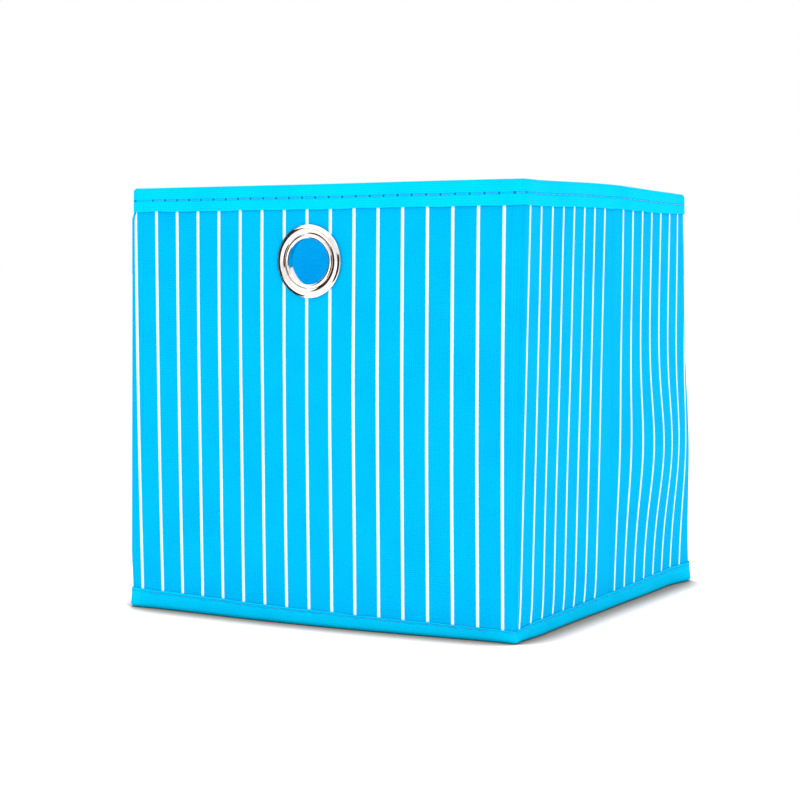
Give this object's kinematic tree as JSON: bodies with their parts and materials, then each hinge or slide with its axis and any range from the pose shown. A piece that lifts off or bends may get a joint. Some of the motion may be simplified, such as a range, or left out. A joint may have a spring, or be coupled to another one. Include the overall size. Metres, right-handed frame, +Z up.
{
  "type": "fabric storage bin",
  "caption": "Cube-shaped fabric storage bin with a striped cover, taped edges, inward-folding side walls, a loose base board and a metal finger-hole eyelet.",
  "frame": {"origin": "middle of the underside, in the plane the bin stands on", "axes": "+Z up, -Y out of the front wall that holds the eyelet, +X to the right seen from the front"},
  "size_m": [0.284, 0.2856, 0.278],
  "materials": {
    "striped_cover": "embossed non-woven polypropylene, bright sky blue with narrow white pinstripes",
    "binding_tape": "plain non-woven tape in the same blue, folded and stitched",
    "lining": "plain blue non-woven lining",
    "board": "grey recycled board, matte",
    "metal": "bright nickel plate"
  },
  "bodies": {
    "front": {"front_cover": "striped_cover", "front_board": "board", "front_lining": "lining", "front_top_binding": "binding_tape", "front_bottom_binding": "binding_tape", "eyelet_ring": "metal", "eyelet_washer": "metal", "base_fabric": "lining"},
    "back": {"back_cover": "striped_cover", "back_board": "board", "back_lining": "lining", "back_top_binding": "binding_tape", "back_bottom_binding": "binding_tape"},
    "left_front": {"left_front_cover": "striped_cover", "left_front_board": "board", "left_front_lining": "lining", "left_front_top_binding": "binding_tape", "left_front_bottom_binding": "binding_tape"},
    "left_rear": {"left_rear_cover": "striped_cover", "left_rear_board": "board", "left_rear_lining": "lining", "left_rear_top_binding": "binding_tape", "left_rear_bottom_binding": "binding_tape"},
    "right_front": {"right_front_cover": "striped_cover", "right_front_board": "board", "right_front_lining": "lining", "right_front_top_binding": "binding_tape", "right_front_bottom_binding": "binding_tape"},
    "right_rear": {"right_rear_cover": "striped_cover", "right_rear_board": "board", "right_rear_lining": "lining", "right_rear_top_binding": "binding_tape", "right_rear_bottom_binding": "binding_tape"},
    "base_insert": {"insert_board": "board", "insert_cover": "lining"}
  },
  "joints": [
    {"name": "fold", "type": "hinge", "parent": "front", "child": "left_front", "pos_m": [-0.136, -0.136, 0], "axis": [0, 0, -1], "range_deg": [0, 87], "deforming": ["back_bottom_binding", "left_front_bottom_binding", "left_rear_bottom_binding", "right_front_bottom_binding", "right_rear_bottom_binding", "base_fabric"]},
    {"name": "left_crease", "type": "hinge", "parent": "left_front", "child": "left_rear", "pos_m": [-0.142, 0, 0], "axis": [0, 0, 1], "range_deg": [0, 174]},
    {"name": "back_left_corner", "type": "hinge", "parent": "left_rear", "child": "back", "pos_m": [-0.136, 0.136, 0], "axis": [0, 0, -1], "range_deg": [0, 87]},
    {"name": "right_front_corner", "type": "hinge", "parent": "front", "child": "right_front", "pos_m": [0.136, -0.136, 0], "axis": [0, 0, 1], "range_deg": [0, 87]},
    {"name": "right_crease", "type": "hinge", "parent": "right_front", "child": "right_rear", "pos_m": [0.142, 0, 0], "axis": [0, 0, -1], "range_deg": [0, 174]},
    {"name": "insert_lift", "type": "slide", "parent": "front", "child": "base_insert", "axis": [0, 0, 1], "range_m": [0, 0.32]}
  ],
  "couplings": [
    {"joint": "left_crease", "follows": "fold", "ratio": 2},
    {"joint": "back_left_corner", "follows": "fold", "ratio": 1},
    {"joint": "right_front_corner", "follows": "fold", "ratio": 1},
    {"joint": "right_crease", "follows": "fold", "ratio": 2}
  ]
}
